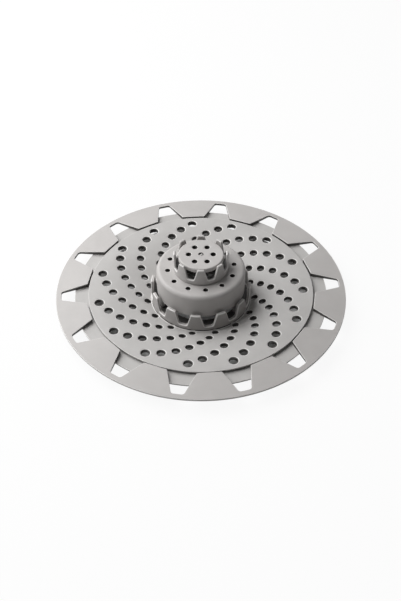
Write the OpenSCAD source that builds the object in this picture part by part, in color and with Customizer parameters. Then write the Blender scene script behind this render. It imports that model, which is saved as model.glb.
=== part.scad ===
// Drain hair catcher: a stack of three nested strainers that lift apart.
// A toothed rim ring lies on the ledge of a perforated dish. A castellated crown with a domed cover
// stands in the dish, and a smaller crown with a flat cap stands in the dome.
// The origin is the middle of the round foot, on the surface that it stands on, and +Z is up.

/* [Overall] */
// Height of the tooth tips of the rim ring above the foot
tip_level = 7.4; // [7.3:0.1:10]
// Smoothness of round faces
$fn = 96; // [48:8:160]

/* [Rim ring] */
// Outer diameter of the rim ring
rim_d = 130; // [128:0.5:150]
// Distance from the ring's outer edge in to the dish's edge
rim_w = 14.6; // [13:0.1:18]
// Thickness of the ring at its outer edge
rim_edge_t = 1.0; // [0.8:0.1:1.4]
// Thickness of the ring at its tooth tips
tip_t = 2.0; // [1.6:0.1:2.4]
// Number of teeth
rim_teeth = 14; // [12:1:16]
// Direction in which the first tooth points out from the middle, in degrees
rim_phase = 94; // [80:1:110]
// Gap between the dish's edge and the tooth tips
tip_gap = 0.6; // [0.5:0.1:1.4]
// Width of a tooth at its tip
tip_w = 10.4; // [9:0.2:12]
// Band of solid ring outside the slots
rim_band = 2.4; // [2:0.2:4]
// Width of a slot at its outer end
slot_end_w = 5.2; // [4.4:0.2:6]
// Radius in the two outer corners of a slot
slot_round = 1.3; // [0.8:0.1:1.8]
// Width of the outer band of the underside, which lies on the floor round the drain
seat_w = 6.2; // [5:0.2:6.4]
// Height by which that band stands proud of the rest of the underside
seat_step = 0.1; // [0.1:0.1:0.3]
// Width of a locating lug under a tooth
lug_w = 4; // [3:0.5:6]
// Radial thickness of a locating lug
lug_t = 1.6; // [1.2:0.1:1.8]
// Depth of a locating lug
lug_h = 0.9; // [0.6:0.1:1.2]
// Clearance between the lugs and the ledge that they hook over
lug_fit = 0.2; // [0.1:0.05:0.4]

/* [Strainer dish] */
// Height of the tooth tips above the lip
lip_drop = 0.45; // [0.2:0.05:0.7]
// Thickness of the lip
lip_t = 0.8; // [0.6:0.1:1.0]
// Depth of the groove under the lip
groove_depth = 1.5; // [1:0.1:2.5]
// Width of the ledge outside the lip
ledge_w = 6.2; // [5.2:0.1:6.6]
// Thickness of the ledge
ledge_t = 0.8; // [0.6:0.1:1.2]
// Width of the flat band inside the lip
flat_w = 3; // [2:0.5:5]
// Depth of the bowl below the lip, at the crown's seat
bowl_depth = 4.67; // [4.2:0.01:4.9]
// Thickness of the plate
plate_t = 1.8; // [1.4:0.1:2]
// Number of spiral arms of holes
arms = 15; // [12:1:16]
// Rows of holes, from the edge inward
rows = 7; // [5:1:7]
// Distance from the dish's edge to the first row of holes
first_row_in = 4.4; // [3.8:0.1:5]
// Distance from the crown's seat out to the last row
last_row_out = 1.63; // [1.55:0.01:2.5]
// Gap between the first two rows, before the rows are spread to fill the plate
row_gap = 3.2; // [3:0.1:3.4]
// Growth of the gap from row to row, before that spread
row_gap_growth = 0.4; // [0:0.1:0.5]
// Largest gap between rows, before that spread
row_gap_max = 3.93; // [3.4:0.01:4.2]
// Turn of an arm from row to row, in degrees
arm_twist = 7.6; // [4:0.2:9]
// Direction of the first hole of the first row, in degrees
arm_phase = -0.7; // [-12:0.1:12]
// Diameter of the holes in the first row
outer_hole_d = 4.0; // [3.4:0.1:4.2]
// Diameter of the holes in the last row
inner_hole_d = 2.9; // [2.4:0.1:3]
// Width of the softened edge round each hole
hole_edge = 0.25; // [0.1:0.05:0.35]
// Ring by which the crown's seat and the foot stand out past the crown's wall
seat_margin = 0.15; // [0.1:0.05:0.3]
// Depth from the tooth tips down to the crown's seat
seat_drop = 4.9; // [4.6:0.1:5.0]

/* [Lower crown] */
// Outer diameter
crown_d = 44.8; // [44:0.2:45]
// Wall thickness
crown_wall = 1.4; // [1.2:0.1:1.6]
// Height from the seat to the tooth tips
crown_h = 8.7; // [8:0.1:10]
// Number of teeth
crown_teeth = 12; // [8:1:12]
// Direction of the first tooth, in degrees
crown_phase = 24; // [0:1:30]
// Depth of the slots between the teeth
crown_slot_h = 6.4; // [5:0.1:6.5]
// Width of a slot at the tooth tips
crown_slot_w = 7.2; // [6:0.1:7.6]
// Width of a slot at its bottom
crown_slot_end_w = 3.8; // [3.2:0.1:5]
// Radius in the bottom corners of a slot
crown_slot_round = 0.9; // [0.5:0.1:1.4]
// Radius on the corners of a tooth
crown_tooth_round = 0.5; // [0.3:0.1:0.8]
// Radius on the outer edge of the crown's foot
crown_foot_round = 0.5; // [0.2:0.1:0.7]
// Thickness of the floor ring
crown_floor_t = 2.0; // [1.6:0.1:2.2]
// Distance from the crown's outer face in to the spigot in the dish's bore
spigot_in = 3.5; // [3.2:0.1:4.4]
// Wall of the spigot
spigot_wall = 1.5; // [1.2:0.1:1.6]
// Height of the spigot's end above the foot
spigot_up = 0.4; // [0.2:0.1:1]
// Clearance round the spigots
spigot_fit = 0.15; // [0.05:0.05:0.25]

/* [Dome cover] */
// Gap between the dome and the crown's wall
dome_side_gap = 1.3; // [1.1:0.1:1.8]
// Height from the floor ring to the lower edge of the dome
dome_gap = 4.2; // [3.6:0.1:4.6]
// Height from the lower edge to the top
dome_h = 11.2; // [10:0.1:14]
// Wall thickness
dome_wall = 1.6; // [1.2:0.1:1.8]
// Thickness of the top
dome_top_t = 1.8; // [1.4:0.1:2.2]
// Radius of the rounded top edge
dome_edge_r = 1.8; // [1:0.1:2.2]
// Number of holes
dome_holes = 12; // [8:1:14]
// Diameter of the holes
dome_hole_d = 2.2; // [1.6:0.1:2.6]
// Distance from the dome's outer face in to the circle of holes
dome_hole_in = 4.9; // [4.2:0.1:5.1]
// Direction of the first hole, in degrees
dome_phase = 8; // [0:0.2:30]
// Number of legs, each behind a crown tooth
dome_legs = 6; // [3:1:6]
// Width of a leg
leg_w = 3.0; // [2:0.1:3.6]
// Width of the rib inside each leg
rib_w = 1.8; // [1.2:0.1:2]
// Thickness of that rib
rib_t = 0.6; // [0.4:0.1:0.6]
// Distance from the floor ring up to the rib's lower end
rib_up = 0.6; // [0.3:0.1:1]
// Height to which the rib runs up the inside of the dome
rib_h = 5.5; // [2:0.5:8]
// Height of the step that centres the legs
leg_step_h = 0.5; // [0.3:0.1:0.6]
// Clearance between the legs and that step
leg_fit = 0.2; // [0.1:0.05:0.3]

/* [Upper crown] */
// Distance from the dome's outer face in to the crown's
small_in = 7.6; // [7.2:0.1:7.7]
// Wall thickness
small_wall = 1.05; // [0.9:0.05:1.2]
// Height from the dome to the tooth tips
small_h = 8.5; // [8:0.1:11]
// Number of teeth
small_teeth = 8; // [6:1:8]
// Direction of the first tooth, in degrees
small_phase = 0; // [0:1:44]
// Depth of the slots between the teeth
small_slot_h = 6.0; // [5:0.1:6.4]
// Width of a slot at the tooth tips
small_slot_w = 6.4; // [5.4:0.1:6.8]
// Width of a slot at its bottom
small_slot_end_w = 3.0; // [2.6:0.1:4]
// Radius in the bottom corners of a slot
small_slot_round = 0.8; // [0.4:0.1:1.2]
// Radius on the corners of a tooth
small_tooth_round = 0.4; // [0.2:0.1:0.6]
// Radius on the outer edge of the crown's foot
small_foot_round = 0.4; // [0.2:0.1:0.6]
// Thickness of the floor ring
small_floor_t = 1.5; // [1.2:0.1:2]
// Distance from the crown's outer face in to the spigot in the dome's bore
small_spigot_in = 2.6; // [2.2:0.1:3.2]
// Wall of the spigot
small_spigot_wall = 1.1; // [0.9:0.1:1.4]
// Length of the spigot below the dome's top face
small_spigot_h = 2.6; // [2:0.1:4]
// Number of spokes that carry the post
spokes = 4; // [3:1:4]
// Width of a spoke
spoke_w = 1.8; // [1.4:0.1:2.2]
// Diameter of the post under the cap
post_d = 6; // [5:0.1:6.6]

/* [Top cap and pin] */
// Gap between the cap and the crown's wall
cap_side_gap = 1.05; // [0.9:0.05:1.3]
// Thickness of the cap
cap_t = 2.0; // [1.6:0.1:2.4]
// Depth of the cap's face below the crown's tooth tips
cap_drop = 0.9; // [0.5:0.1:2.4]
// Radius of the cap's rounded edge
cap_edge_r = 0.6; // [0.3:0.1:0.8]
// Number of holes round the middle
cap_holes = 6; // [4:1:6]
// Diameter of the holes
cap_hole_d = 2.4; // [2:0.1:2.6]
// Distance from the cap's edge in to the circle of holes
cap_hole_in = 4.6; // [4.1:0.05:5]
// Diameter of the pin
pin_d = 2.1; // [1.8:0.05:2.4]
// Clearance between the pin and its bore in the post
pin_fit = 0.02; // [0.01:0.01:0.05]
// Clearance between the pin and the cap
pin_play = 0.12; // [0.05:0.01:0.2]
// Length of the pin inside the post
pin_in = 5; // [3:0.5:5.5]
// Depth of the pin's ridge below the cap's face
pin_sunk = 0.2; // [0.1:0.1:0.8]
// Height of the sloping faces of the ridge
ridge_h = 0.9; // [0.5:0.1:1.2]
// Direction of the ridge, in degrees
ridge_turn = 55; // [0:5:175]

/* [Hidden] */
// How far a cutter runs past what it cuts
over = 1;
// How far parts of one solid run into each other
lap = 0.5;
// Steps in the arc of a slot's corner, and in that of a crown's tooth
arc_steps = 6;
tooth_steps = 3;
// Steps in the arc of a crown's foot edge
foot_steps = 3;
// Part of that arc, in degrees, that is left out where it runs level into the tooth's top
tooth_lead = 20;

// Radii and levels of the ring and the dish
rim_r = rim_d / 2;
dish_r = rim_r - rim_w;
tip_r = dish_r + tip_gap;
slot_end_r = rim_r - rim_band;
slot_half_turn = 180 / rim_teeth;
ledge_r = dish_r + ledge_w;
ledge_level = tip_level - tip_t;
lip_level = tip_level - lip_drop;
rim_base = ledge_level - seat_step;
neck_r = dish_r - groove_depth;
bowl_start_r = dish_r - flat_w;
seat_level = tip_level - seat_drop;
crown_r = crown_d / 2;
seat_r = crown_r + seat_margin;
bowl_r = (pow(bowl_start_r - seat_r, 2) + pow(bowl_depth, 2)) / (2 * bowl_depth);
bowl_centre = lip_level - bowl_r;
spigot_r = crown_r - spigot_in;
bore_r = spigot_r + spigot_fit;
function bowl_top(r) = bowl_centre + sqrt(pow(bowl_r, 2) - pow(bowl_start_r - r, 2));
function bowl_slope(r) = asin((bowl_start_r - r) / bowl_r);

// Radii and levels of the lower crown and the dome
crown_in_r = crown_r - crown_wall;
crown_floor = seat_level + crown_floor_t;
crown_top = seat_level + crown_h;
dome_r = crown_in_r - dome_side_gap;
dome_in_r = dome_r - dome_wall;
dome_bottom = crown_floor + dome_gap;
dome_top = dome_bottom + dome_h;
dome_ceiling = dome_top - dome_top_t;
leg_step_r = dome_r + leg_fit;
small_r = dome_r - small_in;
small_spigot_r = small_r - small_spigot_in;
small_bore_r = small_spigot_r + spigot_fit;

// Radii and levels of the upper crown, the cap and the pin
small_in_r = small_r - small_wall;
small_top = dome_top + small_h;
small_floor = dome_top + small_floor_t;
small_spigot_in_r = small_spigot_r - small_spigot_wall;
cap_top = small_top - cap_drop;
cap_bottom = cap_top - cap_t;
cap_r = small_in_r - cap_side_gap;
post_r = post_d / 2;
pin_r = pin_d / 2;
pin_top = cap_top - pin_sunk;
pin_bottom = cap_bottom - pin_in;

// Radius of row i of the dish's holes, counted from the edge
function gap_of(i) = min(row_gap + row_gap_growth * i, row_gap_max);
function gaps_to(i) = i == 0 ? 0 : gaps_to(i - 1) + gap_of(i - 1);
row_spread = (dish_r - first_row_in - seat_r - last_row_out) / gaps_to(rows - 1);
function row_r(i) = dish_r - first_row_in - row_spread * gaps_to(i);
function row_d(i) = outer_hole_d + (inner_hole_d - outer_hole_d) * i / (rows - 1);

// Copies of a child, turned evenly round the axis
module around(n, phase) {
    for (i = [0 : n - 1])
        rotate(phase + i * 360 / n) children();
}

// Points along an arc, both ends included
function arc(centre_x, centre_y, r, from_a, to_a, steps = arc_steps) = [
    for (i = [0 : steps])
        let (a = from_a + (to_a - from_a) * i / steps)
            [centre_x + r * cos(a), centre_y + r * sin(a)]
];

// A slot outline that narrows from x0 to x1 and has round corners at x1
module slot_outline(x0, w0, x1, w1, corner) {
    slant = atan((w0 - w1) / 2 / (x1 - x0));
    corner_x = x1 - corner;
    corner_y = w1 / 2 + corner * tan(slant) - corner / cos(slant);
    polygon(concat(
        [[x0, -w0 / 2]],
        arc(corner_x, -corner_y, corner, slant - 90, 0),
        arc(corner_x, corner_y, corner, 0, 90 - slant),
        [[x0, w0 / 2]]
    ));
}

// A slot cut down from the tooth tips through a crown's wall, between two radii, with the tooth corners round
module crown_slot(top, depth, w_top, w_bottom, corner, tooth_round, in_r, out_r) {
    slant = atan((w_top - w_bottom) / 2 / depth);
    low_x = depth - corner;
    low_y = w_bottom / 2 + corner * tan(slant) - corner / cos(slant);
    high_y = w_top / 2 - tooth_round * tan(slant) + tooth_round / cos(slant);
    mouth_y = high_y - tooth_round * sin(tooth_lead);
    translate([in_r - over, 0, top])
        rotate([0, 90, 0])
            linear_extrude(out_r - in_r + 2 * over)
                polygon(concat(
                    [[-over, -mouth_y]],
                    arc(tooth_round, -high_y, tooth_round, 180 - tooth_lead, slant + 90, tooth_steps),
                    arc(low_x, -low_y, corner, slant - 90, 0),
                    arc(low_x, low_y, corner, 0, 90 - slant),
                    arc(tooth_round, high_y, tooth_round, 270 - slant, 180 + tooth_lead, tooth_steps),
                    [[-over, mouth_y]]
                ));
}

// The rim ring: a tapered washer whose bore is cut into inward teeth, with a lug under each tooth
module rim_ring() {
    edge_top = rim_base + rim_edge_t;
    tip_corner_turn = slot_half_turn - atan(tip_w / 2 / tip_r);
    tip_corner_r = norm([tip_r, tip_w / 2]);
    mouth_x = tip_corner_r * cos(tip_corner_turn);
    mouth_w = 2 * tip_corner_r * sin(tip_corner_turn);
    flare = (mouth_w - slot_end_w) / (slot_end_r - mouth_x);
    back = 3;
    lug_r = ledge_r + lug_fit;
    color([0.74, 0.73, 0.72]) difference() {
        union() {
            rotate_extrude()
                polygon([
                    [tip_r - lap, ledge_level], [rim_r - seat_w, ledge_level],
                    [rim_r - seat_w, rim_base], [rim_r, rim_base],
                    [rim_r, edge_top], [tip_r - lap, tip_level]
                ]);
            around(rim_teeth, rim_phase)
                translate([lug_r, -lug_w / 2, ledge_level - lug_h])
                    cube([lug_t, lug_w, lug_h + tip_t / 2]);
        }
        translate([0, 0, -over])
            linear_extrude(tip_level + 2 * over)
                rotate(rim_phase)
                    polygon([
                        for (i = [0 : rim_teeth - 1])
                            tip_r / cos(slot_half_turn) * [cos((2 * i + 1) * slot_half_turn),
                                                           sin((2 * i + 1) * slot_half_turn)]
                    ]);
        around(rim_teeth, rim_phase + slot_half_turn)
            translate([0, 0, -over])
                linear_extrude(tip_level + 2 * over)
                    slot_outline(mouth_x - back, mouth_w + back * flare, slot_end_r, slot_end_w, slot_round);
    }
}

// The strainer dish: a bowl in section, with a ledge under its lip, a seat for the crown and a foot
module strainer_dish() {
    under_r = bowl_r - plate_t;
    bowl_end_r = seat_r - seat_margin / 2;
    band_r = bowl_start_r - lap;
    color([0.73, 0.72, 0.71]) difference() {
        rotate_extrude() difference() {
            union() {
                intersection() {
                    translate([bowl_start_r, bowl_centre]) circle(r = bowl_r, $fn = 360);
                    translate([bowl_end_r, 0]) square([bowl_start_r - bowl_end_r, tip_level]);
                }
                translate([band_r, lip_level - plate_t]) square([neck_r - band_r, plate_t]);
                translate([band_r, lip_level - lip_t]) square([dish_r - band_r, lip_t]);
                translate([band_r, ledge_level - ledge_t]) square([ledge_r - band_r, ledge_t]);
                translate([bore_r, 0]) square([seat_r - bore_r, seat_level]);
            }
            difference() {
                translate([bowl_start_r, bowl_centre]) circle(r = under_r, $fn = 360);
                translate([bore_r - over, 0]) square([seat_r - bore_r + over, tip_level]);
                translate([bowl_start_r, -bowl_r]) square([bowl_r, 2 * bowl_r]);
            }
        }
        for (i = [0 : rows - 1])
            around(arms, arm_phase + arm_twist * i) dish_hole(row_r(i), row_d(i));
    }
}

// One hole of the dish, upright, with its upper edge softened square to the bowl
module dish_hole(r, d) {
    start = min(r, bowl_start_r);
    translate([r, 0, -over]) cylinder(d = d, h = tip_level + 2 * over);
    translate([r, 0, bowl_top(start)])
        rotate([0, -bowl_slope(start), 0])
            translate([0, 0, -2 * hole_edge])
                cylinder(d1 = d - 2 * hole_edge, d2 = d + 4 * hole_edge, h = 3 * hole_edge);
}

// The lower crown: a toothed wall on a floor ring, with a spigot below and a step that centres the dome
module lower_crown() {
    spigot_in_r = spigot_r - spigot_wall;
    color([0.52, 0.51, 0.5]) difference() {
        rotate_extrude()
            polygon(concat(
                [[spigot_in_r, spigot_up], [spigot_r, spigot_up], [spigot_r, seat_level]],
                arc(crown_r - crown_foot_round, seat_level + crown_foot_round, crown_foot_round, -90, 0,
                    foot_steps),
                [[crown_r, crown_top], [crown_in_r, crown_top],
                 [crown_in_r, crown_floor + leg_step_h], [leg_step_r, crown_floor + leg_step_h],
                 [leg_step_r, crown_floor], [spigot_in_r, crown_floor]]
            ));
        around(crown_teeth, crown_phase + 180 / crown_teeth)
            crown_slot(crown_top, crown_slot_h, crown_slot_w, crown_slot_end_w, crown_slot_round,
                       crown_tooth_round, crown_in_r, crown_r);
    }
}

// The dome cover: a round-edged cup upside down on legs, with holes in its top
module dome_cover() {
    skirt_h = dome_gap + dome_h;
    color([0.55, 0.54, 0.53]) difference() {
        union() {
            difference() {
                rotate_extrude() {
                    translate([0, crown_floor]) square([dome_r, skirt_h - dome_edge_r]);
                    translate([0, crown_floor]) square([dome_r - dome_edge_r, skirt_h]);
                    translate([dome_r - dome_edge_r, dome_top - dome_edge_r]) circle(r = dome_edge_r);
                }
                translate([0, 0, crown_floor - over])
                    cylinder(r = dome_in_r, h = dome_ceiling - crown_floor + over);
                dome_windows();
            }
            around(dome_legs, crown_phase)
                translate([dome_in_r - rib_t, -rib_w / 2, crown_floor + rib_up])
                    cube([rib_t + dome_wall / 2, rib_w, dome_gap + rib_h - rib_up]);
        }
        translate([0, 0, dome_ceiling - over])
            cylinder(r = small_bore_r, h = dome_top_t + 2 * over);
        around(dome_holes, dome_phase)
            translate([dome_r - dome_hole_in, 0, dome_ceiling - over])
                cylinder(d = dome_hole_d, h = dome_top_t + 2 * over);
    }
}

// What is cut from the foot of the dome's skirt to leave only its legs
module dome_windows() {
    bar_start = dome_in_r - 2 * over;
    difference() {
        translate([0, 0, crown_floor - over]) cylinder(r = dome_r + over, h = dome_gap + over);
        around(dome_legs, crown_phase)
            translate([bar_start, -leg_w / 2, crown_floor - 2 * over])
                cube([dome_r + 2 * over - bar_start, leg_w, dome_gap + 3 * over]);
    }
}

// The upper crown: a toothed wall on a floor ring, with a spigot, spokes and the cap's post
module upper_crown() {
    spigot_bottom = dome_top - small_spigot_h;
    color([0.56, 0.55, 0.54]) difference() {
        union() {
            difference() {
                rotate_extrude()
                    polygon(concat(
                        [[small_spigot_in_r, spigot_bottom], [small_spigot_r, spigot_bottom],
                         [small_spigot_r, dome_top]],
                        arc(small_r - small_foot_round, dome_top + small_foot_round, small_foot_round, -90, 0,
                            foot_steps),
                        [[small_r, small_top], [small_in_r, small_top],
                         [small_in_r, small_floor], [small_spigot_in_r, small_floor]]
                    ));
                around(small_teeth, small_phase + 180 / small_teeth)
                    crown_slot(small_top, small_slot_h, small_slot_w, small_slot_end_w, small_slot_round,
                               small_tooth_round, small_in_r, small_r);
            }
            translate([0, 0, spigot_bottom]) cylinder(r = post_r, h = cap_bottom - spigot_bottom);
            around(spokes, 0)
                translate([0, -spoke_w / 2, spigot_bottom])
                    cube([small_spigot_in_r + small_spigot_wall / 2, spoke_w, small_floor - spigot_bottom]);
        }
        translate([0, 0, pin_bottom]) cylinder(r = pin_r + pin_fit, h = pin_in + over);
    }
}

// The top cap: a round-edged disc with a ring of holes and a hole for the pin
module top_cap() {
    color([0.74, 0.73, 0.72]) difference() {
        rotate_extrude() {
            translate([0, cap_bottom]) square([cap_r, cap_t - cap_edge_r]);
            translate([0, cap_bottom]) square([cap_r - cap_edge_r, cap_t]);
            translate([cap_r - cap_edge_r, cap_top - cap_edge_r]) circle(r = cap_edge_r);
        }
        around(cap_holes, 0)
            translate([cap_r - cap_hole_in, 0, cap_bottom - over])
                cylinder(d = cap_hole_d, h = cap_t + 2 * over);
        translate([0, 0, cap_bottom - over]) cylinder(r = pin_r + pin_play, h = cap_t + 2 * over);
    }
}

// The pin: a plain shank pressed into the post, its upper end cut to a ridge
module centre_pin() {
    color([0.8, 0.79, 0.78]) intersection() {
        translate([0, 0, pin_bottom]) cylinder(r = pin_r, h = pin_top - pin_bottom + over);
        rotate([90, 0, ridge_turn - 90])
            translate([0, 0, -pin_d])
                linear_extrude(2 * pin_d)
                    polygon([
                        [-pin_d, pin_bottom - over], [pin_d, pin_bottom - over],
                        [pin_d, pin_top - 2 * ridge_h], [0, pin_top], [-pin_d, pin_top - 2 * ridge_h]
                    ]);
    }
}

rim_ring();
strainer_dish();
lower_crown();
dome_cover();
upper_crown();
top_cap();
centre_pin();
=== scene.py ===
import math

import bmesh
import bpy
from mathutils import Matrix, Vector


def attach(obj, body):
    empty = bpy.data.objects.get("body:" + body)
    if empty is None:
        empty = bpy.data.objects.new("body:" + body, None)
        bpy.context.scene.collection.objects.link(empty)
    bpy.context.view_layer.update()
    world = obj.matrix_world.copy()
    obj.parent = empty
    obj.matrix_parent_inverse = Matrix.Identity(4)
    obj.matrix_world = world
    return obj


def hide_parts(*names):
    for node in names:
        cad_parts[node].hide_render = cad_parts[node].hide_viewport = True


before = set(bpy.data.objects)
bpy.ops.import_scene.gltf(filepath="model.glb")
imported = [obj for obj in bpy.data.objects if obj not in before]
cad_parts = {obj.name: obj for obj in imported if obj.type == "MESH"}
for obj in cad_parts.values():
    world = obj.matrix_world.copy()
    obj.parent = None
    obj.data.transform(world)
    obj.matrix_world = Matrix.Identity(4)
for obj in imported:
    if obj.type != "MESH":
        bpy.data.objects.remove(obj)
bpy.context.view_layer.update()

scene = bpy.context.scene
scene.view_settings.view_transform = "Standard"


# Rim ring: the flat collar that spreads over the shower floor round the drain, with a thin outer edge.
# It is one injection moulding in soft grey TPR. Its fourteen teeth lie loose on the dish's ledge, and a
# small lug under each tooth hooks over the ledge's edge and locates it. All sizes here are millimetres.
MM = 0.001
TIP_LEVEL = 7.4
RIM_R = 65.0
RIM_BASE = 5.3
LEDGE_LEVEL = 5.4
DISH_R = 50.4
LEDGE_R = 56.6
# The finishes that the faces of one moulding have, each with a material of its own: the moulding's own grey,
# a painted shade for the walls of holes and hollows where shade falls, and a painted highlight for rounded
# edges where light catches.
OUTSIDE, PAINTED_SHADE, PAINTED_HIGHLIGHT = 0, 1, 2


def outline(corners, closing, longest, arc_steps=5):
    """A flat chain of edges through corners, each an x, a y and the radius that rounds it, with long edges
    divided. The closing point makes a face of the chain while its corners are rounded, and then goes."""
    bm = bmesh.new()
    verts = [bm.verts.new((x, y, 0)) for x, y, radius in corners]
    last = bm.verts.new((*closing, 0))
    bm.faces.new(verts + [last])
    points = [v.co.copy() for v in verts]
    for i, (x, y, radius) in enumerate(corners):
        if radius:
            half = (points[i - 1] - points[i]).angle(points[i + 1] - points[i]) / 2
            bmesh.ops.bevel(bm, geom=[verts[i]], offset=radius / math.tan(half), offset_type="OFFSET",
                            segments=arc_steps, profile=0.5, affect="VERTICES", material=-1)
    bmesh.ops.delete(bm, geom=[last], context="VERTS")
    for edge in bm.edges[:]:
        cuts = int(edge.calc_length() / longest)
        if cuts:
            bmesh.ops.subdivide_edges(bm, edges=[edge], cuts=cuts)
    return bm


def all_round(bm, count, phase):
    """Mirrors half a pitch across y = 0, turns it to phase, in degrees, and repeats it round the z axis."""
    bmesh.ops.mirror(bm, geom=bm.verts[:] + bm.edges[:] + bm.faces[:], axis="Y", merge_dist=0.001)
    repeat(bm, bm.verts[:] + bm.edges[:] + bm.faces[:], count, phase)
    bmesh.ops.remove_doubles(bm, verts=bm.verts, dist=0.01)


def repeat(bm, geom, count, phase):
    """Turns geometry to phase, in degrees, and spaces count copies of it evenly round the z axis."""
    turned = [g for g in geom if isinstance(g, bmesh.types.BMVert)]
    bmesh.ops.rotate(bm, verts=turned, cent=(0, 0, 0), matrix=Matrix.Rotation(math.radians(phase), 3, "Z"))
    bmesh.ops.spin(bm, geom=geom, cent=(0, 0, 0), axis=(0, 0, 1), angle=math.tau * (count - 1) / count,
                   steps=count - 1, use_duplicate=True)


def polar(point, radius, level=None):
    """The point in the same direction from the axis, at another radius and level."""
    return (point.xy.normalized() * radius).to_3d() + Vector((0, 0, point.z if level is None else level))


def next_loop(bm, edges, place):
    """Extrudes a chain of edges, puts each new point where place says from its old one, and returns the
    new chain."""
    made = bmesh.ops.extrude_edge_only(bm, edges=edges)["geom"]
    verts = {g for g in made if isinstance(g, bmesh.types.BMVert)}
    for v in verts:
        v.co = place(v.co)
    return [e for e in {e for v in verts for e in v.link_edges} if set(e.verts) <= verts]


def paint_light_and_shade(faces, finish):
    """Gives faces one of a piece's finishes, the painted shade or the painted highlight."""
    for face in faces:
        face.material_index = finish


def round_edges(bm, radius, steps=3, angle=40, beyond=0, above=-1):
    """Closes what meets, turns the faces outward, and rounds the edges that are sharper than an angle, of
    those that lie beyond a radius and above a level. What it rounds gets the painted highlight."""
    bmesh.ops.remove_doubles(bm, verts=bm.verts, dist=0.005)
    bmesh.ops.recalc_face_normals(bm, faces=bm.faces)
    sharp = [e for e in bm.edges if e.is_manifold and e.calc_face_angle() > math.radians(angle)
             and all(v.co.xy.length > beyond and v.co.z > above for v in e.verts)]
    rounded = bmesh.ops.bevel(bm, geom=sharp, offset=radius, offset_type="OFFSET", segments=steps,
                              profile=0.5, affect="EDGES", clamp_overlap=False, material=-1)["faces"]
    paint_light_and_shade(rounded, PAINTED_HIGHLIGHT)


def combine(bm, tool, operation):
    """The exact union or difference of two closed shapes, whose faces keep their finishes through it. Both
    shapes are used up."""
    made = []
    for shape in (bm, tool):
        mesh = bpy.data.meshes.new("work")
        shape.to_mesh(mesh)
        shape.free()
        for _ in (OUTSIDE, PAINTED_SHADE, PAINTED_HIGHLIGHT):
            mesh.materials.append(None)
        made.append(bpy.data.objects.new("work", mesh))
        scene.collection.objects.link(made[-1])
    cut = made[0].modifiers.new("cut", "BOOLEAN")
    cut.operation, cut.object, cut.solver = operation, made[1], "EXACT"
    result = bmesh.new()
    result.from_object(made[0], bpy.context.evaluated_depsgraph_get())
    for mesh in [o.data for o in made]:
        bpy.data.meshes.remove(mesh)
    bmesh.ops.remove_doubles(result, verts=result.verts, dist=0.002)
    return result


def box(size, centre):
    """A block of that size round that centre."""
    bm = bmesh.new()
    bmesh.ops.create_cube(bm, size=1)
    bmesh.ops.scale(bm, vec=size, verts=bm.verts)
    bmesh.ops.translate(bm, vec=centre, verts=bm.verts)
    return bm


def srgb(code):
    """An sRGB hex colour as linear red, green, blue and alpha."""
    channels = [int(code[i:i + 2], 16) / 255 for i in (0, 2, 4)]
    return [c / 12.92 if c <= 0.04045 else ((c + 0.055) / 1.055) ** 2.4 for c in channels] + [1]


def add_node(tree, kind, inputs=None, **settings):
    """Adds a shader node with its settings; an input is a value, or a socket that it is linked to."""
    node = tree.nodes.new("ShaderNode" + kind)
    for name, value in settings.items():
        setattr(node, name, value)
    for name, value in (inputs or {}).items():
        if isinstance(value, bpy.types.NodeSocket):
            tree.links.new(value, node.inputs[name])
        else:
            node.inputs[name].default_value = value
    return node


def moulded_rubber(name, shade, cloud, roughness=0.5):
    """TPR, injection moulded against a fine spark-eroded tool: an even satin grey with a faint cloudiness
    from the flow of the melt and a fine pebble that only shows as a soft break-up of the highlights."""
    material = bpy.data.materials.new(name)
    material.use_nodes = True
    tree = material.node_tree
    tree.nodes.clear()
    place = add_node(tree, "TexCoord").outputs["Object"]
    # Flow clouds are about 9 mm across.
    clouds = add_node(tree, "TexNoise", {"Vector": place, "Scale": 110.0, "Detail": 3.0, "Roughness": 0.55})
    tint = add_node(tree, "MapRange", {"Value": clouds.outputs["Fac"], "From Min": 0.3, "From Max": 0.7})
    # The real pebble is about 0.1 mm; it is drawn at 0.45 mm so that it shows at all.
    pebble = add_node(tree, "TexNoise", {"Vector": place, "Scale": 2200.0, "Detail": 2.0, "Roughness": 0.6})
    colour = add_node(tree, "Mix", {"Factor": tint.outputs["Result"]}, data_type="RGBA")
    colour.inputs["A"].default_value = srgb(shade)
    colour.inputs["B"].default_value = srgb(cloud)
    satin = add_node(tree, "MapRange", {"Value": pebble.outputs["Fac"], "To Min": roughness - 0.06,
                                        "To Max": roughness + 0.08})
    bump = add_node(tree, "Bump", {"Height": pebble.outputs["Fac"], "Strength": 0.35, "Distance": 0.00002})
    shader = add_node(tree, "BsdfPrincipled", {"Base Color": colour.outputs["Result"],
                                               "Roughness": satin.outputs["Result"],
                                               "Normal": bump.outputs["Normal"]})
    shader.inputs["IOR"].default_value = 1.5
    add_node(tree, "OutputMaterial", {"Surface": shader.outputs["BSDF"]})
    return material


# Painted shade: a dark grey for the walls of holes and slots and for the hollows under and inside the
# mouldings, where shade falls.
painted_shade_finish = moulded_rubber("tpr_painted_shade", "4C4A48", "454341", 0.35)
# Painted highlight: a paler grey for the rounded edges and the flared rims of holes, where light catches.
painted_highlight_finish = moulded_rubber("tpr_painted_edge_highlight", "DAD8D6", "D2D0CE", 0.42)


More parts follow.
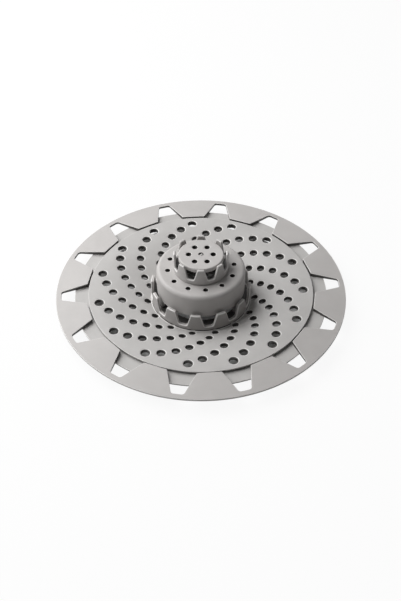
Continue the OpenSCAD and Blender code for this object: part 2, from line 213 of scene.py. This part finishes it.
def make_piece(name, bm, body, node, material):
    """Turns a shape in millimetres into a finished piece that stands for a CAD node. Its hole walls and
    hollows carry a painted shade, and the edges that were rounded a painted highlight."""
    crease = math.radians(50)
    bmesh.ops.recalc_face_normals(bm, faces=bm.faces)
    bmesh.ops.scale(bm, vec=(MM, MM, MM), verts=bm.verts)
    for face in bm.faces:
        face.smooth = True
    for edge in bm.edges:
        edge.smooth = not edge.is_manifold or edge.calc_face_angle() < crease
    mesh = bpy.data.meshes.new(name)
    bm.to_mesh(mesh)
    bm.free()
    for finish in (material, painted_shade_finish, painted_highlight_finish):
        mesh.materials.append(finish)
    piece = bpy.data.objects.new(name, mesh)
    scene.collection.objects.link(piece)
    normals = piece.modifiers.new("even_shading", "WEIGHTED_NORMAL")
    normals.keep_sharp = True
    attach(piece, body)
    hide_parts(node)
    return piece


def rim_ring():
    tip_r, tip_w, tip_round = 51.0, 10.4, 0.4
    slot_end_r, slot_end_w, slot_round = 62.6, 5.2, 1.3
    teeth, first_tooth = 14, 94
    edge_top, taper_start_r = 6.3, 50.5
    taper = (TIP_LEVEL - edge_top) / (RIM_R - taper_start_r)
    slot_turn = math.radians(180 / teeth)
    corner_r = math.hypot(tip_r, tip_w / 2)
    corner_turn = slot_turn - math.atan(tip_w / 2 / tip_r)
    middle = (tip_r * math.cos(slot_turn), tip_r * math.sin(slot_turn), 0)
    tip_corner = (corner_r * math.cos(corner_turn), corner_r * math.sin(corner_turn), tip_round)
    ring = outline([middle, tip_corner, (slot_end_r, slot_end_w / 2, slot_round), (slot_end_r, 0, 0)],
                   closing=(45, 0), longest=1.5)
    all_round(ring, teeth, first_tooth + 180 / teeth)
    for v in ring.verts:
        v.co.z = edge_top + (RIM_R - v.co.xy.length) * taper
    inner = ring.edges[:]
    outer = next_loop(ring, inner, lambda p: polar(p, RIM_R, edge_top))
    next_loop(ring, outer, lambda p: polar(p, RIM_R, RIM_BASE))
    tops = set(ring.faces)
    under = next_loop(ring, inner, lambda p: Vector((p.x, p.y, RIM_BASE)))
    # The walls of the slots and tooth tips take the painted shade.
    paint_light_and_shade(set(ring.faces) - tops, PAINTED_SHADE)
    next_loop(ring, under, lambda p: polar(p, RIM_R, RIM_BASE))
    round_edges(ring, radius=0.2)
    lug_depth, lug_w, lug_height = 1.6, 4, 1.9
    lug_gap, lug_drop = 0.2, 0.9
    lugs = box((lug_depth, lug_w, lug_height),
               (LEDGE_R + lug_gap + lug_depth / 2, 0, LEDGE_LEVEL - lug_drop + lug_height / 2))
    repeat(lugs, lugs.verts[:] + lugs.edges[:] + lugs.faces[:], teeth, first_tooth)
    return combine(ring, lugs, "UNION")


make_piece("rim_ring_moulding", rim_ring(), "ring", "rim_ring",
           moulded_rubber("tpr_satin_rim", "BAB7B5", "B4B1AF"))


# Strainer dish: the shallow bowl that carries everything, with 105 holes in fifteen spiral arms.
# It is moulded in the same soft TPR, with a thin lip that overhangs the ledge for the ring's teeth,
# a raised seat for the crown in its middle and a round foot under that seat.
LIP_LEVEL = 6.95
SEAT_LEVEL = 2.5
SEAT_R = 22.55
BOWL_START_R = 47.4
BOWL_DEPTH = 4.67
BOWL_R = ((BOWL_START_R - SEAT_R) ** 2 + BOWL_DEPTH ** 2) / (2 * BOWL_DEPTH)


def section(start):
    """A new section in the xz plane, at its first point."""
    bm = bmesh.new()
    return bm, bm.verts.new((start[0], 0, start[1]))


def line_to(bm, vert, *points):
    """Carries a section on through points of radius and level, and returns its last one."""
    for radius, level in points:
        vert = bmesh.ops.extrude_vert_indiv(bm, verts=[vert])["verts"][0]
        vert.co = (radius, 0, level)
    return vert


def arc_to(bm, vert, centre, degrees, steps):
    """Carries a section on round a centre, and returns its last point."""
    made = bmesh.ops.spin(bm, geom=[vert], cent=(centre[0], 0, centre[1]), axis=(0, 1, 0),
                          angle=math.radians(degrees), steps=steps)["geom_last"]
    return [g for g in made if isinstance(g, bmesh.types.BMVert)][0]


def turn_section(bm, steps):
    """Closes a section and turns it into a solid of revolution."""
    bmesh.ops.remove_doubles(bm, verts=bm.verts, dist=0.002)
    bmesh.ops.spin(bm, geom=bm.verts[:] + bm.edges[:], cent=(0, 0, 0), axis=(0, 0, 1), angle=math.tau,
                   steps=steps, use_merge=True)
    bmesh.ops.remove_doubles(bm, verts=bm.verts, dist=0.002)


def pull_out(bm, faces, keep=False):
    """Extrudes faces as one region, without a wall left where they were, and returns the new faces."""
    made = bmesh.ops.extrude_face_region(bm, geom=faces)["geom"]
    if not keep:
        bmesh.ops.delete(bm, geom=faces, context="FACES")
    return [g for g in made if isinstance(g, bmesh.types.BMFace)]


def add_hole(bm, radius, width, surface, bottom, edge, sides=28):
    """Adds the cutter of one upright hole on the x axis, flared where it leaves the surface, and returns
    it."""
    # Each step gives how far the wall stands out there and its level above the surface, both as shares
    # of edge. The last one only clears what rises beside a hole.
    steps = ((0, -1), (0.2, -0.4), (1.1, 0.02), (1.9, 0.4), (1.9, 1.2))
    before = set(bm.verts)
    made = bmesh.ops.create_circle(bm, cap_ends=True, radius=width / 2, segments=sides,
                                   matrix=Matrix.Translation((radius, 0, bottom)))
    face = made["verts"][0].link_faces[0]
    middle = Vector((radius, 0, 0))
    for flare, level in steps:
        face = pull_out(bm, [face], keep=level == -1)[0]
        # A hole's wall takes the painted shade and its flared rim the painted highlight.
        paint_light_and_shade({f for e in face.edges for f in e.link_faces if f is not face}, PAINTED_HIGHLIGHT if flare > 0.2 else PAINTED_SHADE)
        for v in face.verts:
            out = (v.co - middle).xy.normalized() * (width / 2 + flare * edge)
            spot = middle.xy + out
            v.co = (spot.x, spot.y, surface(spot.length) + level * edge)
    verts = [v for v in bm.verts if v not in before]
    edges = {e for v in verts for e in v.link_edges}
    return verts + list(edges) + list({f for v in verts for f in v.link_faces})


def bowl_top(radius):
    """Level of the dish's upper face."""
    if radius >= BOWL_START_R:
        return LIP_LEVEL
    return LIP_LEVEL - BOWL_R + math.sqrt(BOWL_R ** 2 - (BOWL_START_R - radius) ** 2)


def strainer_dish():
    wall, flange, neck_r = 1.8, 0.8, 48.9
    bore_r, seat_edge_r = 19.05, 21.7
    row_radii = (46.0, 42.9, 39.41, 35.61, 31.8, 27.99, 24.18)
    arms, first_arm, arm_lean = 15, -0.7, 7.6
    hole_w, narrowing = 4.0, 1.1
    arc_steps, turn_steps = 26, 180
    under_r = BOWL_R - wall
    bowl_z = LIP_LEVEL - BOWL_R
    spread = math.asin((BOWL_START_R - SEAT_R) / BOWL_R)
    under_spread = math.asin((BOWL_START_R - SEAT_R) / under_r)
    dish, vert = section((DISH_R, LIP_LEVEL))
    vert = line_to(dish, vert, (BOWL_START_R, LIP_LEVEL))
    vert = arc_to(dish, vert, (BOWL_START_R, bowl_z), -math.degrees(spread), arc_steps)
    vert = line_to(dish, vert, (SEAT_R, SEAT_LEVEL), (seat_edge_r, SEAT_LEVEL), (bore_r, SEAT_LEVEL),
                   (bore_r, 0), (SEAT_R, 0), (SEAT_R, bowl_z + under_r * math.cos(under_spread)))
    vert = arc_to(dish, vert, (BOWL_START_R, bowl_z), math.degrees(under_spread), arc_steps)
    line_to(dish, vert, (BOWL_START_R, LEDGE_LEVEL - flange), (LEDGE_R, LEDGE_LEVEL - flange),
            (LEDGE_R, LEDGE_LEVEL), (neck_r, LEDGE_LEVEL), (neck_r, LIP_LEVEL - flange),
            (DISH_R, LIP_LEVEL - flange), (DISH_R, LIP_LEVEL))
    turn_section(dish, turn_steps)
    # Painted shade also darkens the groove under the lip and the outer edge of the seat, under the crown's
    # foot.
    for low, high, inner, outer in ((LEDGE_LEVEL, LIP_LEVEL - 0.1, neck_r - 0.1, DISH_R - 0.1),
                                    (SEAT_LEVEL - 0.01, SEAT_LEVEL + 0.01, seat_edge_r, SEAT_R)):
        paint_light_and_shade([f for f in dish.faces if low < f.calc_center_median().z < high
              and inner < f.calc_center_median().xy.length < outer], PAINTED_SHADE)
    round_edges(dish, radius=0.16)
    holes = bmesh.new()
    for row, radius in enumerate(row_radii):
        width = hole_w - narrowing * row / (len(row_radii) - 1)
        made = add_hole(holes, radius, width, bowl_top, bottom=-1, edge=0.4)
        repeat(holes, made, arms, first_arm + arm_lean * row)
    bmesh.ops.recalc_face_normals(holes, faces=holes.faces)
    return combine(dish, holes, "DIFFERENCE")


make_piece("strainer_dish_moulding", strainer_dish(), "dish", "strainer_dish",
           moulded_rubber("tpr_satin_dish", "B9B7B5", "B2B0AE"))


# Lower crown: the larger of two castellated collars, which stands on the dish's seat.
# It is moulded in one with a floor ring and a short spigot that drops into the dish's bore, and it
# lifts out for cleaning. Its twelve teeth have soft corners and rounded edges.
CROWN_FLOOR = 4.5
CROWN_TOP = 11.2


def foot(shape, loop, radius, level, corner):
    """Carries the outside of a collar down to its rounded foot, and returns the last chain."""
    for degrees in (0, 30, 60, 90):
        turn = math.radians(degrees)
        out, up = radius - corner * (1 - math.cos(turn)), level + corner * (1 - math.sin(turn))
        loop = next_loop(shape, loop, lambda p: polar(p, out, up))
    return loop


def toothed_wall(outer_r, inner_r, top, teeth, phase, depth, top_w, bottom_w, slot_round, tooth_round):
    """The toothed upper edge of a collar as two joined chains, and returns the shape and both chains."""
    pitch_y = outer_r * math.sin(math.pi / teeth)
    wall = outline([(0, pitch_y, 0), (0, top_w / 2, tooth_round), (depth, bottom_w / 2, slot_round),
                    (depth, 0, 0)], closing=(-1, 0), longest=0.8)
    for v in wall.verts:
        down, across = v.co.xy
        v.co = (math.sqrt(outer_r ** 2 - across ** 2), across, top - down)
    all_round(wall, teeth, phase + 180 / teeth)
    outside = wall.edges[:]
    inside = next_loop(wall, outside, lambda p: polar(p, inner_r))
    return wall, outside, inside


def lower_crown():
    outer_r, inner_r, step_r, bore_r, spigot_r = 22.4, 21.0, 19.9, 17.4, 18.9
    slot_depth, spigot_bottom, foot_round = 6.4, 0.4, 0.9
    slot_floor = CROWN_TOP - slot_depth
    crown, outside, inside = toothed_wall(outer_r, inner_r, CROWN_TOP, teeth=12, phase=24, depth=slot_depth,
                                          top_w=7.2, bottom_w=3.8, slot_round=0.9, tooth_round=0.5)
    foot(crown, outside, outer_r, SEAT_LEVEL, foot_round)
    loop = inside
    for radius, level in ((inner_r, slot_floor), (step_r, slot_floor), (step_r, CROWN_FLOOR),
                          (bore_r, CROWN_FLOOR), (bore_r, spigot_bottom), (spigot_r, spigot_bottom),
                          (spigot_r, SEAT_LEVEL), (outer_r - foot_round, SEAT_LEVEL)):
        loop = next_loop(crown, loop, lambda p: polar(p, radius, level))
    round_edges(crown, radius=0.42, beyond=20.5, above=SEAT_LEVEL + foot_round)
    round_edges(crown, radius=0.12)
    # The step and floor ring inside the crown take the painted shade.
    paint_light_and_shade([f for f in crown.faces if f.calc_center_median().xy.length < inner_r - 0.1 and
          CROWN_FLOOR - 1 < f.calc_center_median().z < slot_floor + 0.1], PAINTED_SHADE)
    return crown


# Its grey is darker than the other mouldings': painted shade for the shade that falls on the crown.
make_piece("lower_crown_moulding", lower_crown(), "crown", "lower_crown",
           moulded_rubber("tpr_satin_crown_painted_shade", "A9A6A4", "A29F9D"))


# Dome cover: a round-edged cup upside down, which lets the water in under its edge and through its top.
# It is moulded in the same TPR with six legs, hidden behind crown teeth, that stand on the crown's
# floor ring and centre it, and twelve small holes round its top.
DOME_TOP = 19.9


def dome_cover():
    outer_r, inner_r, bore_r = 19.7, 18.1, 9.65
    skirt_level, edge_round, roof = 8.7, 1.8, 1.8
    legs, first_leg, leg_half, rib_half = 6, 24, 4.6, 2.9
    rib_bottom, rib_top, rib_r = CROWN_FLOOR + 0.6, 14.2, 17.5
    dome, vert = section((outer_r, skirt_level))
    vert = line_to(dome, vert, (outer_r, DOME_TOP - edge_round))
    vert = arc_to(dome, vert, (outer_r - edge_round, DOME_TOP - edge_round), degrees=-90, steps=8)
    line_to(dome, vert, (bore_r, DOME_TOP), (bore_r, DOME_TOP - roof), (inner_r, DOME_TOP - roof),
            (inner_r, skirt_level), (outer_r, skirt_level))
    turn_section(dome, steps=240)
    round_edges(dome, radius=0.15)

    def off_leg(face):
        """How far a face lies from the middle of the nearest leg, in degrees."""
        middle, pitch = face.calc_center_median(), 360 / legs
        turn = math.degrees(math.atan2(middle.y, middle.x)) - first_leg
        return abs((turn + pitch / 2) % pitch - pitch / 2)

    feet = [f for f in dome.faces if f.normal.z < -0.99 and off_leg(f) < leg_half
            and f.calc_center_median().z < skirt_level + 1]
    for v in {v for f in pull_out(dome, feet) for v in f.verts}:
        v.co.z = CROWN_FLOOR
    for level in (rib_bottom, rib_top):
        bmesh.ops.bisect_plane(dome, geom=dome.verts[:] + dome.edges[:] + dome.faces[:],
                               plane_co=(0, 0, level), plane_no=(0, 0, 1))
    dome.normal_update()
    inner = [f for f in dome.faces if f.calc_center_median().xy.length < inner_r + 0.3
             and abs(f.normal.z) < 0.1 and rib_bottom < f.calc_center_median().z < rib_top
             and off_leg(f) < rib_half]
    for v in {v for f in pull_out(dome, inner) for v in f.verts}:
        v.co = polar(v.co, rib_r)
    holes = bmesh.new()
    made = add_hole(holes, radius=14.8, width=2.2, surface=lambda radius: DOME_TOP, bottom=17, edge=0.2,
                    sides=20)
    repeat(holes, made, count=12, phase=8)
    bmesh.ops.recalc_face_normals(holes, faces=holes.faces)
    return combine(dome, holes, "DIFFERENCE")


make_piece("dome_cover_moulding", dome_cover(), "dome", "dome_cover",
           moulded_rubber("tpr_satin_dome", "B5B2B0", "AEABA9"))


# Upper crown: the smaller castellated collar, which stands on the dome.
# It is one moulding with a spigot that drops into the dome's bore and four spokes, which carry the
# hollow post that the cap lies on and the pin is pressed into.
SMALL_TOP = 28.4
SMALL_FLOOR = 21.4
SPIGOT_BOTTOM = 17.3
CAP_BOTTOM = 25.5
PIN_BOTTOM = 20.5


def rod(radius, bottom, top, sides):
    """An upright round bar on the axis."""
    bm = bmesh.new()
    bmesh.ops.create_cone(bm, cap_ends=True, segments=sides, radius1=radius, radius2=radius,
                          depth=top - bottom, matrix=Matrix.Translation((0, 0, (top + bottom) / 2)))
    return bm


def upper_crown():
    outer_r, inner_r, bore_r, spigot_r, foot_round = 12.1, 11.05, 8.4, 9.5, 0.6
    spoke_length, spoke_w, post_r, pin_hole_r = 17.9, 1.8, 3, 1.07
    crown, outside, inside = toothed_wall(outer_r, inner_r, SMALL_TOP, teeth=8, phase=0, depth=6.0,
                                          top_w=6.4, bottom_w=3.0, slot_round=0.8, tooth_round=0.4)
    foot(crown, outside, outer_r, DOME_TOP, foot_round)
    loop = inside
    for radius, level in ((inner_r, SMALL_FLOOR), (bore_r, SMALL_FLOOR), (bore_r, SPIGOT_BOTTOM),
                          (spigot_r, SPIGOT_BOTTOM), (spigot_r, DOME_TOP), (outer_r - foot_round, DOME_TOP)):
        loop = next_loop(crown, loop, lambda p: polar(p, radius, level))
    round_edges(crown, radius=0.34, beyond=11, above=SMALL_FLOOR + 0.5)
    round_edges(crown, radius=0.2)
    middle = (SMALL_FLOOR + SPIGOT_BOTTOM) / 2
    height = SMALL_FLOOR - SPIGOT_BOTTOM
    carrier = combine(box((spoke_length, spoke_w, height), (0, 0, middle)),
                      box((spoke_w, spoke_length, height), (0, 0, middle)), "UNION")
    post = rod(post_r, SPIGOT_BOTTOM - 0.01, CAP_BOTTOM, sides=48)
    round_edges(post, radius=0.25)
    carrier = combine(carrier, post, "UNION")
    carrier = combine(carrier, rod(pin_hole_r, PIN_BOTTOM, CAP_BOTTOM + 1, sides=24), "DIFFERENCE")
    crown = combine(crown, carrier, "UNION")
    # The floor, spokes, post and spigot inside the small crown take the painted shade.
    paint_light_and_shade([f for f in crown.faces if f.calc_center_median().xy.length < 11 and
          f.calc_center_median().z < CAP_BOTTOM - 1], PAINTED_SHADE)
    return crown


make_piece("upper_crown_moulding", upper_crown(), "small_crown", "upper_crown",
           moulded_rubber("tpr_satin_small_crown", "B5B2B0", "AEABA9"))


# Top cap: the little round-edged disc that closes the tower, with six holes round its middle.
# It is moulded in the same TPR, lies loose on the upper crown's post and is centred by the pin.
CAP_TOP = 27.5


def top_cap():
    pin_hole_r, flat_r, base_r, edge_round = 1.17, 9.4, 10.0, 0.6
    cap, vert = section((pin_hole_r, CAP_TOP))
    # The circles at 3.6 and 7.2 keep the faces short where the six holes are cut between them.
    vert = line_to(cap, vert, (3.6, CAP_TOP), (7.2, CAP_TOP), (flat_r, CAP_TOP))
    vert = arc_to(cap, vert, (flat_r, CAP_TOP - edge_round), degrees=90, steps=5)
    line_to(cap, vert, (base_r, CAP_BOTTOM), (pin_hole_r, CAP_BOTTOM), (pin_hole_r, CAP_TOP))
    turn_section(cap, steps=120)
    # The wall of the middle hole takes the painted shade.
    paint_light_and_shade([f for f in cap.faces if f.calc_center_median().xy.length < pin_hole_r + 0.03], PAINTED_SHADE)
    round_edges(cap, radius=0.12, beyond=3)
    holes = bmesh.new()
    made = add_hole(holes, radius=5.4, width=2.4, surface=lambda radius: CAP_TOP, bottom=25, edge=0.2,
                    sides=24)
    repeat(holes, made, count=6, phase=0)
    bmesh.ops.recalc_face_normals(holes, faces=holes.faces)
    return combine(cap, holes, "DIFFERENCE")


make_piece("top_cap_moulding", top_cap(), "cap", "top_cap",
           moulded_rubber("tpr_satin_cap", "BDBAB8", "B6B3B1"))


# Centre pin: a short pin pressed into the upper crown's post.
# It is a harder moulding whose upper end is cut to a ridge, which shows in the cap's middle hole; its
# near-white colour is a painted highlight, the glint of light on that ridge.
def centre_pin():
    pin_r, ridge_level, blank_top = 1.05, 27.3, 28
    slope, ridge = math.atan2(1.8, 2.1), math.radians(55)
    pin = rod(pin_r, PIN_BOTTOM, blank_top, sides=32)
    for side in (1, -1):
        # Each cut slopes down from the ridge to its own side.
        normal = Vector((side * math.sin(ridge) * math.sin(slope), -side * math.cos(ridge) * math.sin(slope),
                         math.cos(slope)))
        cut = bmesh.ops.bisect_plane(pin, geom=pin.verts[:] + pin.edges[:] + pin.faces[:],
                                     plane_co=(0, 0, ridge_level), plane_no=normal,
                                     clear_outer=True)["geom_cut"]
        bmesh.ops.edgeloop_fill(pin, edges=[g for g in cut if isinstance(g, bmesh.types.BMEdge)])
    round_edges(pin, radius=0.06, steps=1)
    return pin


make_piece("centre_pin_moulding", centre_pin(), "small_crown", "centre_pin",
           moulded_rubber("nylon_pin_painted_glint", "F2F0ED", "EAE8E5", 0.35))


# Floor: a plain pale table top, with the white of the room round it.
# It looks white outside the object's outline, straight and in gloss, and keeps a soft shadow of the object.
# Under the dish it stays a plain matt white that only the light through the holes reaches.
def seen_white(tree):
    """1 for what the camera sees straight or mirrored in a gloss, and 0 for what lights a matt surface."""
    path = add_node(tree, "LightPath")
    either = add_node(tree, "Math", operation="MAXIMUM")
    tree.links.new(path.outputs["Is Camera Ray"], either.inputs[0])
    tree.links.new(path.outputs["Is Glossy Ray"], either.inputs[1])
    return either.outputs["Value"]


def table_top():
    bm = bmesh.new()
    bmesh.ops.create_circle(bm, cap_ends=True, segments=64, radius=3)
    mesh = bpy.data.meshes.new("table_top")
    bm.to_mesh(mesh)
    bm.free()
    table = bpy.data.objects.new("table_top", mesh)
    scene.collection.objects.link(table)
    material = bpy.data.materials.new("white_table_laminate")
    material.use_nodes = True
    tree = material.node_tree
    tree.nodes.clear()
    place = add_node(tree, "TexCoord").outputs["Object"]
    reach = add_node(tree, "VectorMath", operation="DISTANCE")
    tree.links.new(place, reach.inputs[0])
    reach.inputs[1].default_value = (0, 0.002, 0)
    # The matt zone ends 50 mm from the dish's middle, under its lip.
    zone = add_node(tree, "MapRange", {"Value": reach.outputs["Value"], "From Min": 0.0497,
                                       "From Max": 0.0507, "To Max": 0.93})
    share = add_node(tree, "Math", operation="MULTIPLY")
    tree.links.new(zone.outputs["Result"], share.inputs[0])
    tree.links.new(seen_white(tree), share.inputs[1])
    matt = add_node(tree, "BsdfDiffuse", {"Color": (0.86, 0.86, 0.86, 1)})
    white = add_node(tree, "Emission", {"Color": (1, 1, 1, 1), "Strength": 1.0})
    mix = add_node(tree, "MixShader", {"Fac": share.outputs["Value"]})
    tree.links.new(matt.outputs["BSDF"], mix.inputs[1])
    tree.links.new(white.outputs["Emission"], mix.inputs[2])
    add_node(tree, "OutputMaterial", {"Surface": mix.outputs["Shader"]})
    mesh.materials.append(material)


table_top()


# Light: a white room, and one very large soft lamp high at the left.
# The lamp stands near, so that the left of the ring is lighter than the right and the tower's shadow
# falls softly to the right. The room mirrors white in the gloss of every rounded edge.
def studio_light():
    world = bpy.data.worlds.new("white_room")
    scene.world = world
    world.use_nodes = True
    tree = world.node_tree
    tree.nodes.clear()
    strength = add_node(tree, "MapRange", {"Value": seen_white(tree), "To Min": 0.08, "To Max": 1.0})
    room = add_node(tree, "Background", {"Color": (1, 1, 1, 1), "Strength": strength.outputs["Result"]})
    add_node(tree, "OutputWorld", {"Surface": room.outputs["Background"]})
    lamp = bpy.data.lights.new("soft_lamp", "AREA")
    lamp.shape = "ELLIPSE"
    lamp.size, lamp.size_y = 0.7, 0.6
    lamp.energy = 4.8
    stand = bpy.data.objects.new("soft_lamp", lamp)
    stand.location = (-0.34, 0.16, 0.38)
    stand.rotation_euler = (-Vector(stand.location)).to_track_quat("-Z", "Y").to_euler()
    scene.collection.objects.link(stand)


studio_light()


# Camera: where the photograph's stood, 455 mm from the middle of the ring and 43.1 degrees above it.
# The lens and its shift frame the object as the photograph does.
def camera():
    reach, height = 0.455, math.radians(43.1)
    view = bpy.data.cameras.new("camera")
    view.sensor_width, view.lens = 36, 60.6
    view.shift_x, view.shift_y = -0.0007, -0.021
    view.clip_start = 0.01
    eye = bpy.data.objects.new("camera", view)
    eye.location = (0, -reach * math.cos(height), TIP_LEVEL * MM + reach * math.sin(height))
    eye.rotation_euler = (math.pi / 2 - height, 0, 0)
    scene.collection.objects.link(eye)
    scene.camera = eye


camera()
